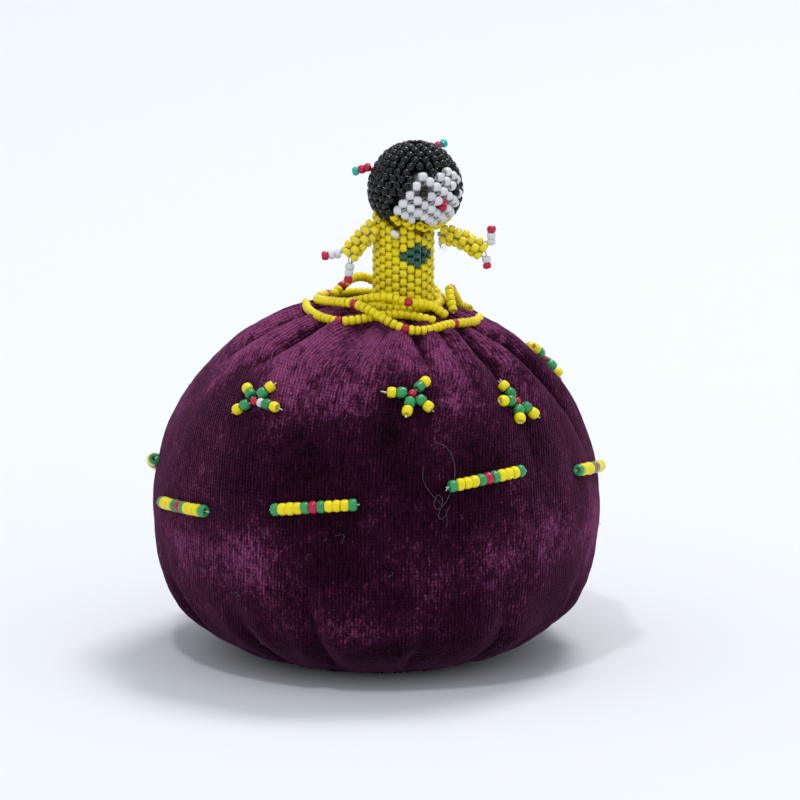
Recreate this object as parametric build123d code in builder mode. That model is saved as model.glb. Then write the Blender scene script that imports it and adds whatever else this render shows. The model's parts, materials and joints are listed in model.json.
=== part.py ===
from build123d import *
import math
import os

# A stuffed velvet pin cushion with a bead-woven doll standing in its gathered top.
# Origin: centre of the flat underside. +Z is up, the doll's front faces -Y, +X is the viewer's right.
# Azimuths are in degrees, measured from the front (-Y) towards +X. Lengths are in millimetres.

# ---- driving dimensions ----
CUSHION_RADIUS = 52.5
EQUATOR_HEIGHT = 36.0
CROWN_RISE = 48.8
BASE_RADIUS = 27.0
VELVET_THICKNESS = 1.0
FIT_GAP = 0.1

SEED_DIAMETER = 2.0
SEED_LENGTH = 1.42
SEED_HOLE = 0.7
SEED_PITCH = 2.1
STRAND_BEAD_LENGTH = 1.24
THREAD_DIAMETER = 0.3

BAR_BEAD_DIAMETER = 2.9
BAR_BEAD_LENGTH = 1.7
BAR_PITCH = 1.85
FLOWER_BEAD_DIAMETER = 2.6
FLOWER_BEAD_LENGTH = 2.1
LARGE_HOLE = 0.9
PILE_GAP = 0.15

GATHER_X = 4.0
HOLLOW_FLOOR = 82.3
HOLLOW_SPHERE_RADIUS = 60.0

DOLL_X = 6.5
TORSO_RADIUS = 6.4
TORSO_COLUMNS = 24
TORSO_ROW_PITCH = 2.08
TORSO_FIRST_ROW = 84.3
TORSO_TOP = 107.2
CORE_RADIUS = TORSO_RADIUS - SEED_DIAMETER / 2 - FIT_GAP
CORE_FOOT = 56.0

HEAD_CENTRE = Vector(9.3, -0.5, 111.6)
HEAD_RADIUS = 10.4
HEAD_RISE = 10.8
HEAD_DROP = 9.4
HAIR_ROW_PITCH = 1.62
HEAD_CLEARANCE = 2.0
CROWN_ELEVATION = 50.0
CROWN_BEAD_DIAMETER = 2.2
FACE_AZIMUTH = 30.2
FACE_ELEVATION = -4.6
FACE_BEAD_DIAMETER = 2.2
FACE_BEAD_LENGTH = 1.5
FEATURE_BEAD_DIAMETER = 1.6
FEATURE_BEAD_LENGTH = 1.25

ARM_RING_RADIUS = 1.6
ARM_ROW_PITCH = 1.64
ARM_CORE_RADIUS = 0.5
FINGER_PITCH = 1.52

os.makedirs("parts", exist_ok=True)


# ---- small helpers ----
def write(shape, label):
    """Name a finished node and save it as its own STEP file."""
    shape.label = label
    export_step(shape, f"parts/{label}.step")


def bead(diameter, length, hole):
    """One glass bead: a bored drum with bevelled rims, its hole along Z."""
    rim = 0.72 * diameter / 2
    belly = length / 4
    with BuildPart() as drum:
        with BuildSketch(Plane.XZ):
            with BuildLine():
                Polyline(
                    (hole / 2, -length / 2),
                    (rim, -length / 2),
                    (diameter / 2, -belly),
                    (diameter / 2, belly),
                    (rim, length / 2),
                    (hole / 2, length / 2),
                    close=True,
                )
            make_face()
        revolve(axis=Axis.Z)
    return drum.part.solid()


def group(pieces):
    """Separate solids kept side by side in one node, without fusing them."""
    return Compound(children=list(pieces))


def seat(point, hole_axis):
    """The placement that puts a bead's centre on a point with its hole along an axis."""
    return Plane(origin=point, z_dir=hole_axis).location


def beads_at(shape, seats):
    return group(shape.moved(Location(place)) for place in seats)


def thread_along(path, diameter=THREAD_DIAMETER):
    """A round thread swept along a wire or edge."""
    with BuildPart() as thread:
        with BuildSketch(Plane(origin=path @ 0, z_dir=path % 0)):
            Circle(diameter / 2)
        sweep(path=path)
    return thread.part.solid()


def around(azimuth, radius, height, axis_x=0.0):
    """A point at an azimuth and radius about a vertical axis."""
    angle = math.radians(azimuth)
    return Vector(axis_x + radius * math.sin(angle), -radius * math.cos(angle), height)


def clear_of(point, others, distance):
    return all((point - other).length >= distance for other in others)


seed_bead = bead(SEED_DIAMETER, SEED_LENGTH, SEED_HOLE)
strand_bead = bead(SEED_DIAMETER, STRAND_BEAD_LENGTH, SEED_HOLE)
crown_bead = bead(CROWN_BEAD_DIAMETER, SEED_LENGTH, SEED_HOLE)
face_bead = bead(FACE_BEAD_DIAMETER, FACE_BEAD_LENGTH, SEED_HOLE)
feature_bead = bead(FEATURE_BEAD_DIAMETER, FEATURE_BEAD_LENGTH, SEED_HOLE)
bar_bead = bead(BAR_BEAD_DIAMETER, BAR_BEAD_LENGTH, LARGE_HOLE)
flower_bead = bead(FLOWER_BEAD_DIAMETER, FLOWER_BEAD_LENGTH, LARGE_HOLE)
flower_centre_bead = bead(SEED_DIAMETER, 1.6, SEED_HOLE)


# ---- the cushion's outside ----
def velvet_height(x, y):
    """Height of the velvet's outside over a point of its upper half, hollow included."""
    reach = math.hypot(x, y) / CUSHION_RADIUS
    dome = EQUATOR_HEIGHT + CROWN_RISE * math.sqrt(1 - reach**2)
    from_gather = math.hypot(x - GATHER_X, y)
    if from_gather >= HOLLOW_SPHERE_RADIUS:
        return dome
    drop = math.sqrt(HOLLOW_SPHERE_RADIUS**2 - from_gather**2)
    return min(dome, HOLLOW_FLOOR + HOLLOW_SPHERE_RADIUS - drop)


def velvet_frame(azimuth, height):
    """The point, outward normal, rightward and upward directions on the dome."""
    share = (height - EQUATOR_HEIGHT) / CROWN_RISE
    point = around(azimuth, CUSHION_RADIUS * math.sqrt(1 - share**2), height)
    normal = dome_normal(point)
    right = Vector(0, 0, 1).cross(normal).normalized()
    return point, normal, right, normal.cross(right)


def dome_normal(point):
    flat = Vector(point.X, point.Y, 0) * (1 / CUSHION_RADIUS**2)
    rise = (point.Z - EQUATOR_HEIGHT) / CROWN_RISE**2
    return (flat + Vector(0, 0, rise)).normalized()


def on_velvet(azimuth, height, right, up, lift):
    """A point lifted off the dome, stepped right and up from a place on it."""
    start, _, to_right, to_up = velvet_frame(azimuth, height)
    point = start + to_right * right + to_up * up
    offset = point - Vector(0, 0, EQUATOR_HEIGHT)
    flat = (offset.X**2 + offset.Y**2) / CUSHION_RADIUS**2
    scale = math.sqrt(flat + (offset.Z / CROWN_RISE) ** 2)
    on_dome = Vector(0, 0, EQUATOR_HEIGHT) + offset * (1 / scale)
    return on_dome + dome_normal(on_dome) * lift


# ---- cushion: velvet cover, filling and drawstring threads ----
def cushion_ball(inset):
    """The closed ball, flat underneath and hollowed at the crown, inset from the outside."""
    widest = CUSHION_RADIUS - inset
    with BuildPart() as ball:
        with BuildSketch(Plane.XZ):
            with BuildLine():
                foot = Line((0, inset), (BASE_RADIUS, inset))
                side = Spline(
                    foot @ 1,
                    (CUSHION_RADIUS * 0.76 - inset, 6.2 + inset * 0.6),
                    (CUSHION_RADIUS * 0.935 - inset, 17.0),
                    (widest, EQUATOR_HEIGHT),
                    tangents=((1, 0), (0, 1)),
                )
                crown = EllipticalCenterArc(
                    (0, EQUATOR_HEIGHT),
                    widest,
                    CROWN_RISE - inset,
                    start_angle=0,
                    arc_size=90,
                )
                Line(crown @ 1, foot @ 0)
            make_face()
        revolve(axis=Axis.Z)
        with Locations((GATHER_X, 0, HOLLOW_FLOOR + HOLLOW_SPHERE_RADIUS)):
            Sphere(HOLLOW_SPHERE_RADIUS + inset, mode=Mode.SUBTRACT)
    return ball.part


GATHER_HOLE_RADIUS = CORE_RADIUS + FIT_GAP
BASE_GATHER_RADIUS = 3.0
TOP_THREAD_HEIGHT = HOLLOW_FLOOR - VELVET_THICKNESS - 0.9
BASE_THREAD_HEIGHT = VELVET_THICKNESS + 0.6
DRAWSTRING_RADIUS = 0.35

with BuildPart() as velvet_cover:
    add(cushion_ball(0))
    add(cushion_ball(VELVET_THICKNESS), mode=Mode.SUBTRACT)
    with Locations((DOLL_X, 0, HOLLOW_FLOOR)):
        Cylinder(GATHER_HOLE_RADIUS, 10, mode=Mode.SUBTRACT)
write(velvet_cover.part, "velvet_cover")

with BuildPart() as stuffing:
    add(cushion_ball(VELVET_THICKNESS + FIT_GAP))
    with BuildSketch(Plane.XY.offset(CORE_FOOT - FIT_GAP)):
        with Locations((DOLL_X, 0)):
            Circle(CORE_RADIUS + FIT_GAP)
    extrude(amount=40, mode=Mode.SUBTRACT)
    with Locations((DOLL_X, 0, TOP_THREAD_HEIGHT)):
        Torus(CORE_RADIUS + 0.9, DRAWSTRING_RADIUS + FIT_GAP, mode=Mode.SUBTRACT)
    with Locations((0, 0, BASE_THREAD_HEIGHT)):
        Torus(BASE_GATHER_RADIUS, DRAWSTRING_RADIUS + FIT_GAP, mode=Mode.SUBTRACT)
write(stuffing.part, "stuffing")

with BuildPart() as top_gather_thread:
    with Locations((DOLL_X, 0, TOP_THREAD_HEIGHT)):
        Torus(CORE_RADIUS + 0.9, DRAWSTRING_RADIUS)
write(top_gather_thread.part, "top_gather_thread")

with BuildPart() as base_gather_thread:
    with Locations((0, 0, BASE_THREAD_HEIGHT)):
        Torus(BASE_GATHER_RADIUS, DRAWSTRING_RADIUS)
write(base_gather_thread.part, "base_gather_thread")


# ---- doll: padded core and head ball ----
def head_ball(growth):
    """The ball inside the head's beads, taller above its middle than below, grown or shrunk."""
    width = HEAD_RADIUS + growth
    halves = []
    for height, cut_side in ((HEAD_RISE, Align.MIN), (HEAD_DROP, Align.MAX)):
        with BuildPart() as half:
            Sphere(1)
            Box(2, 2, 1, align=(Align.CENTER, Align.CENTER, cut_side), mode=Mode.INTERSECT)
            scale(by=(width, width, height + growth))
        halves.append(half.part)
    with BuildPart() as ball:
        add(halves)
    return ball.part.moved(Location(HEAD_CENTRE))


HEAD_CORE_SHRINK = -FACE_BEAD_DIAMETER / 2 - 0.2

with BuildPart() as doll_core:
    with BuildSketch(Plane.XY.offset(CORE_FOOT)):
        with Locations((DOLL_X, 0)):
            Circle(CORE_RADIUS)
    extrude(amount=TORSO_TOP - CORE_FOOT)
    chamfer(doll_core.edges().sort_by(Axis.Z)[0], 2.5)
    add(head_ball(HEAD_CORE_SHRINK + FIT_GAP / 2), mode=Mode.SUBTRACT)
write(doll_core.part, "doll_core")

with BuildPart() as head_core:
    add(head_ball(HEAD_CORE_SHRINK))
write(head_core.part, "head_core")


# ---- doll: head beads ----
def half_height_at(rise):
    """The head is taller above its middle than below it."""
    return HEAD_RISE if rise > 0 else HEAD_DROP


def head_frame(azimuth, elevation):
    """A bead centre on the head, with its meridional and horizontal directions."""
    turn = math.radians(azimuth)
    rise = math.radians(elevation)
    out = Vector(math.sin(turn), -math.cos(turn), 0)
    flat = out * (HEAD_RADIUS * math.cos(rise))
    half_height = half_height_at(rise)
    point = HEAD_CENTRE + flat + Vector(0, 0, half_height * math.sin(rise))
    up = out * (-HEAD_RADIUS * math.sin(rise)) + Vector(0, 0, half_height * math.cos(rise))
    across = Vector(math.cos(turn), math.sin(turn), 0)
    return point, up.normalized(), across


def face_frame(column, row):
    """A place of the face's slanting weave, counted from its middle."""
    across_mm = 1.70 * column - 1.56 * row
    up_mm = -1.14 * column - 1.91 * row
    azimuth = FACE_AZIMUTH + math.degrees(across_mm / HEAD_RADIUS)
    elevation = FACE_ELEVATION + math.degrees(up_mm / HEAD_DROP)
    return head_frame(azimuth, elevation)


# Columns of each slanting row of the face, with the hairline's zigzag at their ends.
FACE_ROWS = {
    -3: (0, 2),
    -2: (-1, 3),
    -1: (-3, 3),
    0: (-3, 4),
    1: (-3, 3),
    2: (-3, 2),
    3: (-3, -1),
}
EYE_PLACES = ((-2, 0), (2, -2))
MOUTH_PLACE = (1, 0)
feature_places = EYE_PLACES + (MOUTH_PLACE,)

face_seats = []
for row, (first, last) in FACE_ROWS.items():
    for column in range(first, last + 1):
        if (column, row) not in feature_places:
            point, _, across = face_frame(column, row)
            face_seats.append((point, across))


def stacked_pair(place):
    """Two flat beads, one above the other, filling one place of the weave."""
    point, up, _ = face_frame(*place)
    half = (FEATURE_BEAD_LENGTH + 0.1) / 2
    return [(point + up * half, up), (point - up * half, up)]


eye_seats = stacked_pair(EYE_PLACES[0]) + stacked_pair(EYE_PLACES[1])
mouth_seats = stacked_pair(MOUTH_PLACE)
face_points = [point for point, _ in face_seats + eye_seats + mouth_seats]


def on_neck(point):
    """True where the torso's top leaves no room for a head bead."""
    from_axis = math.hypot(point.X - DOLL_X, point.Y)
    return point.Z < TORSO_TOP + 1.1 and from_axis < CORE_RADIUS + 1.2


def under_face(azimuth, elevation):
    """True below the face, where a yellow collar takes the place of the hair."""
    return elevation < -28 and -45 < (azimuth + 180) % 360 - 180 < 88


hair_seats = []
crown_seats = []
collar_seats = []
elevation = -60.0
row = 0
while elevation < 84:
    ring = HEAD_RADIUS * math.cos(math.radians(elevation))
    is_crown = elevation > CROWN_ELEVATION
    pitch = CROWN_BEAD_DIAMETER + 0.15 if is_crown else SEED_PITCH
    count = max(int(2 * math.pi * ring / pitch), 3)
    for index in range(count):
        azimuth = 360 / count * (index + row % 2 / 2)
        point, up, _ = head_frame(azimuth, elevation)
        if on_neck(point) or not clear_of(point, face_points, HEAD_CLEARANCE):
            continue
        if under_face(azimuth, elevation):
            collar_seats.append((point, up))
        else:
            (crown_seats if is_crown else hair_seats).append((point, up))
    step = math.hypot(
        HEAD_RADIUS * math.sin(math.radians(elevation)),
        half_height_at(elevation) * math.cos(math.radians(elevation)),
    )
    elevation += math.degrees(HAIR_ROW_PITCH / step)
    row += 1

head_points = face_points + [point for point, _ in hair_seats + crown_seats + collar_seats]

write(beads_at(seed_bead, [seat(*s) for s in hair_seats]), "hair_beads")
write(beads_at(crown_bead, [seat(*s) for s in crown_seats]), "crown_beads")
write(beads_at(seed_bead, [seat(*s) for s in collar_seats]), "collar_beads")
write(beads_at(face_bead, [seat(*s) for s in face_seats]), "face_beads")
write(beads_at(feature_bead, [seat(*s) for s in eye_seats]), "eye_beads")
write(beads_at(feature_bead, [seat(*s) for s in mouth_seats]), "mouth_beads")


# ---- doll: torso, a peyote-woven tube whose bead holes run round it ----
def under_head(point):
    """True where a torso bead would meet the head ball or the head's beads."""
    room = HEAD_CORE_SHRINK + SEED_DIAMETER / 2 + FIT_GAP
    offset = point - HEAD_CENTRE
    flat = (offset.X**2 + offset.Y**2) / (HEAD_RADIUS + room) ** 2
    inside = flat + (offset.Z / (half_height_at(offset.Z) + room)) ** 2 < 1
    return inside or not clear_of(point, head_points, HEAD_CLEARANCE)


MOTIF_COLUMN = 2
MOTIF_APEX_STEP = 14

motif_places = set()
for left in range(3):
    for right in range(3):
        motif_places.add((MOTIF_COLUMN - left + right, MOTIF_APEX_STEP - left - right))

torso_seats = []
motif_seats = []
for column in range(TORSO_COLUMNS):
    azimuth = 360 / TORSO_COLUMNS * column
    for half_row in range(column % 2, 26, 2):
        height = TORSO_FIRST_ROW + half_row * TORSO_ROW_PITCH / 2
        point = around(azimuth, TORSO_RADIUS, height, DOLL_X)
        if height > TORSO_TOP or under_head(point):
            continue
        across = Vector(math.cos(math.radians(azimuth)), math.sin(math.radians(azimuth)), 0)
        chosen = motif_seats if (column, half_row) in motif_places else torso_seats
        chosen.append((point, across))

write(beads_at(seed_bead, [seat(*s) for s in torso_seats]), "torso_beads")
write(beads_at(seed_bead, [seat(*s) for s in motif_seats]), "torso_motif_beads")

shoulder_point = around(-14, TORSO_RADIUS + SEED_PITCH, 102.6, DOLL_X)
write(beads_at(seed_bead, [seat(shoulder_point, Vector(0.5, 0, 0.6))]), "shoulder_bead")


# ---- doll: arms, woven round a cord, and strung fingers ----
def arm(side, root, bend, hand):
    """An arm's cord and the rings of four beads round it, from shoulder to hand."""
    with BuildLine() as spine:
        ThreePointArc(root, bend, hand)
    path = spine.edge()
    rows = int((path.length - 1.0) / ARM_ROW_PITCH)
    seats = []
    for row in range(rows + 1):
        distance = 1.0 + row * ARM_ROW_PITCH
        place = path.location_at(distance, position_mode=PositionMode.LENGTH)
        forward = path.tangent_at(distance, position_mode=PositionMode.LENGTH)
        for index in range(4):
            angle = math.radians(90 * index + 45 * (row % 2))
            ring = Vector(math.cos(angle), math.sin(angle), 0) * ARM_RING_RADIUS
            centre = Plane(place).from_local_coords(ring)
            off_torso = math.hypot(centre.X - DOLL_X, centre.Y) >= TORSO_RADIUS + SEED_PITCH
            if off_torso and clear_of(centre, head_points, SEED_PITCH + 0.1):
                seats.append(seat(centre, forward))
    write(beads_at(seed_bead, seats), f"{side}_arm_beads")
    cord = path.trim((1.2) / path.length, 1)
    write(thread_along(cord, 2 * ARM_CORE_RADIUS), f"{side}_arm_cord")


def strung_tail(label, root, direction, colours):
    """A short stiff strand of beads on a thread that starts at its root."""
    way = direction.normalized()
    start = SEED_LENGTH / 2 + 0.35
    seats = {}
    for index, colour in enumerate(colours):
        point = root + way * (start + index * FINGER_PITCH)
        seats.setdefault(colour, []).append(seat(point, way))
    for colour, places in seats.items():
        write(beads_at(seed_bead, places), f"{label}_{colour}_beads")
    end = start + (len(colours) - 1) * FINGER_PITCH + SEED_LENGTH / 2
    with BuildLine() as line:
        Line(root + way * 0.2, root + way * (end + 0.15))
    write(thread_along(line.edge(), 0.5), f"{label}_thread")


LEFT_SHOULDER = Vector(0.2, -3.5, 103.4)
LEFT_HAND = Vector(-6.6, -5.2, 96.6)
RIGHT_SHOULDER = Vector(13.4, -1.3, 101.2)
RIGHT_HAND = Vector(25.4, -2.6, 96.9)

arm("left", LEFT_SHOULDER, Vector(-3.5, -4.4, 100.3), LEFT_HAND)
arm("right", RIGHT_SHOULDER, Vector(19.6, -1.9, 100.2), RIGHT_HAND)

FINGER_COLOURS = ("white", "white", "red")
LEFT_THUMB_ROOT = Vector(-8.0, -5.8, 97.4)
LEFT_FINGER_ROOT = Vector(-6.1, -6.2, 95.3)
RIGHT_THUMB_ROOT = Vector(27.3, -2.8, 98.5)
RIGHT_FINGER_ROOT = Vector(26.1, -3.4, 96.5)
strung_tail("left_thumb", LEFT_THUMB_ROOT, Vector(-1, -0.1, -0.12), FINGER_COLOURS)
strung_tail("left_finger", LEFT_FINGER_ROOT, Vector(-0.12, -0.15, -1), FINGER_COLOURS)
strung_tail("right_thumb", RIGHT_THUMB_ROOT, Vector(0.02, 0, 1), FINGER_COLOURS)
strung_tail("right_finger", RIGHT_FINGER_ROOT, Vector(0.1, -0.1, -1), FINGER_COLOURS[1:])

# ---- doll: pigtails, strung beads that stand out from the hair ----
LEFT_PIGTAIL_ROOT = Vector(-0.9, -0.5, 117.4)
RIGHT_PIGTAIL_ROOT = Vector(13.8, 6.1, 120.5)
PIGTAIL_COLOURS = ("red", "red", "teal")
strung_tail("left_pigtail", LEFT_PIGTAIL_ROOT, Vector(-0.95, 0, -0.3), PIGTAIL_COLOURS)
strung_tail("right_pigtail", RIGHT_PIGTAIL_ROOT, Vector(0.88, 0.25, 0.34), PIGTAIL_COLOURS[1:])


# ---- skirt: loose strands of a bead net round the doll's foot ----
STRAND_PITCH = 1.5
WAIST_RADIUS = 8.7


def over_velvet(azimuth, radius, lift):
    """A point above the velvet at an azimuth and radius about the gather."""
    spot = around(azimuth, radius, 0, GATHER_X)
    return Vector(spot.X, spot.Y, velvet_height(spot.X, spot.Y) + lift)


def rounded_path(points):
    """Straight runs through the points with the largest tangent arcs that fit."""
    radii = []
    for before, corner, after in zip(points, points[1:], points[2:]):
        first = corner - before
        second = after - corner
        half_turn = math.radians(max(first.get_angle(second), 1.0)) / 2
        radii.append(0.45 * min(first.length, second.length) / math.tan(half_turn))
    with BuildLine() as line:
        FilletPolyline(*points, radius=radii)
    return line.wire()


def strand(route):
    """Beads and thread along a route of (azimuth, radius, lift, colour) points.

    A red point turns the bead nearest to it red.
    """
    points = [over_velvet(azimuth, radius, lift) for azimuth, radius, lift, _ in route]
    path = rounded_path(points)
    count = int((path.length - 1.0) / STRAND_PITCH)
    places = []
    for index in range(count + 1):
        distance = (path.length - count * STRAND_PITCH) / 2 + index * STRAND_PITCH
        centre = path.position_at(distance, position_mode=PositionMode.LENGTH)
        forward = path.tangent_at(distance, position_mode=PositionMode.LENGTH)
        places.append((centre, forward))
    red = set()
    for point, (_, _, _, colour) in zip(points, route):
        if colour == "red":
            nearest = min(range(len(places)), key=lambda i: (places[i][0] - point).length)
            red.add(nearest)
    yellow_seats = [seat(*p) for i, p in enumerate(places) if i not in red]
    red_seats = [seat(*p) for i, p in enumerate(places) if i in red]
    return yellow_seats, red_seats, thread_along(path)


LOW = SEED_DIAMETER / 2 + 0.3

FRONT_HEM = [
    (-104, 18.3, LOW, "yellow"),
    (-86, 18.1, 2.2, "yellow"),
    (-66, 17.2, 3.0, "yellow"),
    (-49, 16.2, 3.5, "yellow"),
    (-35, 15.7, 3.7, "red"),
    (-20, 16.8, 3.5, "yellow"),
    (-5, 18.8, 2.5, "yellow"),
    (10, 20.4, LOW, "red"),
    (24, 20.3, LOW, "yellow"),
    (38, 19.1, 1.5, "yellow"),
    (52, 18.6, LOW, "red"),
    (66, 19.4, LOW, "yellow"),
    (80, 20.5, LOW, "yellow"),
    (94, 20.6, LOW, "yellow"),
]
BACK_HEM = [
    (112, 19.8, LOW, "yellow"),
    (128, 20.5, LOW, "yellow"),
    (146, 20.4, LOW, "red"),
    (166, 18.8, 1.6, "yellow"),
    (188, 20.3, LOW, "red"),
    (210, 20.5, LOW, "yellow"),
    (232, 20.3, LOW, "red"),
    (246, 19.2, LOW, "yellow"),
]
NET_STRANDS = [
    [
        (-99, 20.9, LOW, "yellow"),
        (-78, 20.7, LOW, "yellow"),
        (-58, 20.9, LOW, "yellow"),
        (-39, 20.5, LOW, "red"),
        (-27, 18.0, LOW, "yellow"),
        (-15, 15.2, LOW, "yellow"),
        (0, 13.5, LOW, "yellow"),
        (15, 13.4, LOW, "yellow"),
        (28, 15.0, LOW, "yellow"),
        (36, 16.7, LOW, "yellow"),
    ],
    [
        (-66, 13.2, LOW, "yellow"),
        (-50, 13.2, 2.4, "yellow"),
        (-34, 12.6, 3.6, "yellow"),
        (-18, 12.4, 4.6, "yellow"),
        (-2, 12.9, 5.2, "yellow"),
        (15, 14.4, 4.7, "red"),
        (30, 13.9, 4.3, "yellow"),
        (43, 14.0, 3.4, "yellow"),
        (55, 15.6, LOW, "yellow"),
    ],
    [
        (70, 15.4, LOW, "yellow"),
        (79, 14.0, 3.4, "yellow"),
        (88, 13.4, 5.4, "yellow"),
        (98, 14.0, 5.3, "red"),
        (106, 15.6, 3.4, "yellow"),
        (111, 17.0, LOW, "yellow"),
    ],
    [
        (120, 13.6, LOW, "yellow"),
        (135, 13.8, 3.2, "yellow"),
        (150, 14.2, 4.5, "red"),
        (165, 14.6, 3.0, "yellow"),
        (180, 15.2, LOW, "yellow"),
        (196, 14.6, 3.2, "yellow"),
        (211, 13.8, 4.6, "yellow"),
        (227, 13.4, 4.4, "yellow"),
        (243, 13.4, 3.2, "red"),
        (258, 14.8, LOW, "yellow"),
    ],
]


def write_strands(label, routes):
    """One node of yellow beads, one of red and one of threads for some strands."""
    yellow_seats = []
    red_seats = []
    threads = []
    for route in routes:
        more_yellow, more_red, thread = strand(route)
        yellow_seats += more_yellow
        red_seats += more_red
        threads.append(thread)
    write(beads_at(strand_bead, yellow_seats), f"{label}_yellow_beads")
    write(beads_at(strand_bead, red_seats), f"{label}_red_beads")
    write(group(threads), f"{label}_thread")


write_strands("skirt_front_hem", [FRONT_HEM])
write_strands("skirt_back_hem", [BACK_HEM])
write_strands("skirt_net", NET_STRANDS)

waist_count = int(2 * math.pi * WAIST_RADIUS / STRAND_PITCH)
waist_azimuths = [360 / waist_count * index for index in range(waist_count)]
waist_spots = [around(azimuth, WAIST_RADIUS, 0, DOLL_X) for azimuth in waist_azimuths]
waist_height = max(velvet_height(spot.X, spot.Y) for spot in waist_spots) + LOW
waist_seats = []
for azimuth in waist_azimuths:
    across = Vector(math.cos(math.radians(azimuth)), math.sin(math.radians(azimuth)), 0)
    waist_seats.append(seat(around(azimuth, WAIST_RADIUS, waist_height, DOLL_X), across))
write(beads_at(strand_bead, waist_seats), "skirt_waist_beads")

with BuildPart() as skirt_waist_thread:
    with Locations((DOLL_X, 0, waist_height)):
        Torus(WAIST_RADIUS, THREAD_DIAMETER / 2)
write(skirt_waist_thread.part, "skirt_waist_thread")


# ---- bars: eleven large beads on a thread, stitched round the ball's middle ----
BAR_COLOURS = ("green", "yellow", "yellow", "yellow", "green", "red")
BAR_COLOURS += BAR_COLOURS[4::-1]
# Azimuth, height and tilt of each bar.
BARS = (
    (-95, 44.0, 18),
    (-59, 40.8, 5),
    (-16, 46.0, 7),
    (30.8, 51.2, 4),
    (76, 46.5, -10),
    (121, 43.0, -8),
    (166, 46.0, 5),
    (211, 42.5, -4),
)
BAR_LIFT = BAR_BEAD_DIAMETER / 2 + PILE_GAP

bar_seats = {"green": [], "yellow": [], "red": []}
bar_threads = []
for azimuth, height, tilt in BARS:
    slope = math.radians(tilt)

    def along_bar(distance):
        """A point on the bar's thread, a distance right of its middle."""
        right = distance * math.cos(slope)
        return on_velvet(azimuth, height, right, distance * math.sin(slope), BAR_LIFT)

    for index, colour in enumerate(BAR_COLOURS):
        distance = (index - 5) * BAR_PITCH
        forward = along_bar(distance + 0.5) - along_bar(distance - 0.5)
        bar_seats[colour].append(seat(along_bar(distance), forward))
    reach = 5.5 * BAR_PITCH + 0.7
    with BuildLine() as bar_line:
        ThreePointArc(along_bar(-reach), along_bar(0), along_bar(reach))
    bar_threads.append(thread_along(bar_line.edge()))

for colour, seats in bar_seats.items():
    write(beads_at(bar_bead, seats), f"bar_{colour}_beads")
write(group(bar_threads), "bar_threads")

# ---- flowers: four short arms of a green and a yellow bead round a red one ----
# Azimuth and height of each flower, and the direction of each of its arms in degrees.
FLOWERS = (
    (-42.5, 66.4, (62, 146, 217, 357)),
    (12.7, 69.6, (42, 171, 247, 312)),
    (52, 65.6, (105, 168, 240, 303)),
    (106, 67.0, (36, 120, 244, 310)),
    (152, 68.5, (47, 133, 226, 318)),
    (190, 67.0, (40, 135, 220, 310)),
    (228, 68.8, (50, 140, 232, 322)),
)
FLOWER_LIFT = FLOWER_BEAD_DIAMETER / 2 + PILE_GAP
GREEN_REACH = 2.5
YELLOW_REACH = 4.75
# A spare white bead next to the middle pushes the last arm of the first flower outwards.
SPARE_SHIFT = 1.5
SPARE_REACH = 1.95
SPARE_FLOWER_AZIMUTH = -42.5
SPARE_ARM_ANGLE = 357

flower_seats = {"green": [], "yellow": [], "red": []}
flower_threads = []
for azimuth, height, arm_angles in FLOWERS:

    def in_flower(distance, angle):
        """A point at a distance and direction from the flower's middle."""
        turn = math.radians(angle)
        right = distance * math.cos(turn)
        return on_velvet(azimuth, height, right, distance * math.sin(turn), FLOWER_LIFT)

    first_way = in_flower(1, arm_angles[2]) - in_flower(1, arm_angles[0])
    flower_seats["red"].append(seat(in_flower(0, 0), first_way))
    for angle in arm_angles:
        has_spare = azimuth == SPARE_FLOWER_AZIMUTH and angle == SPARE_ARM_ANGLE
        shift = SPARE_SHIFT if has_spare else 0
        inner = in_flower(1.1, angle)
        outer = in_flower(YELLOW_REACH + shift + FLOWER_BEAD_LENGTH / 2 + 0.7, angle)
        forward = outer - inner
        flower_seats["green"].append(seat(in_flower(GREEN_REACH + shift, angle), forward))
        flower_seats["yellow"].append(seat(in_flower(YELLOW_REACH + shift, angle), forward))
        if has_spare:
            spare_seat = seat(in_flower(SPARE_REACH, angle), forward)
        with BuildLine() as arm_line:
            Line(inner, outer)
        flower_threads.append(thread_along(arm_line.edge()))

write(beads_at(flower_bead, flower_seats["green"]), "flower_green_beads")
write(beads_at(flower_bead, flower_seats["yellow"]), "flower_yellow_beads")
write(beads_at(flower_centre_bead, flower_seats["red"]), "flower_red_beads")
write(group(flower_threads), "flower_threads")
write(beads_at(seed_bead, [spare_seat]), "flower_white_bead")
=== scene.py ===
import json
import math

import bmesh
import bpy
import numpy as np
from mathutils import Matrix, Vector, noise
from mathutils.bvhtree import BVHTree
from mathutils.kdtree import KDTree


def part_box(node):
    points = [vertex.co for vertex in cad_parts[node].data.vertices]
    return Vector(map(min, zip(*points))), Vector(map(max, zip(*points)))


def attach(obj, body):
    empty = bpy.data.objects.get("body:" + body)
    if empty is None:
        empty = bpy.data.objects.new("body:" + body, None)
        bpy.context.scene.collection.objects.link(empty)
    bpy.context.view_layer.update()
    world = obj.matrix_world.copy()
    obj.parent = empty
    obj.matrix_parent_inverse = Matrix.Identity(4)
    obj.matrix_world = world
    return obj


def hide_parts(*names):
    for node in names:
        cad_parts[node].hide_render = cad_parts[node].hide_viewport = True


# A gathered velvet pin cushion with a bead-woven doll in its top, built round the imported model.
# Lengths are worked out in millimetres and turned to metres where meshes are made.

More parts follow.
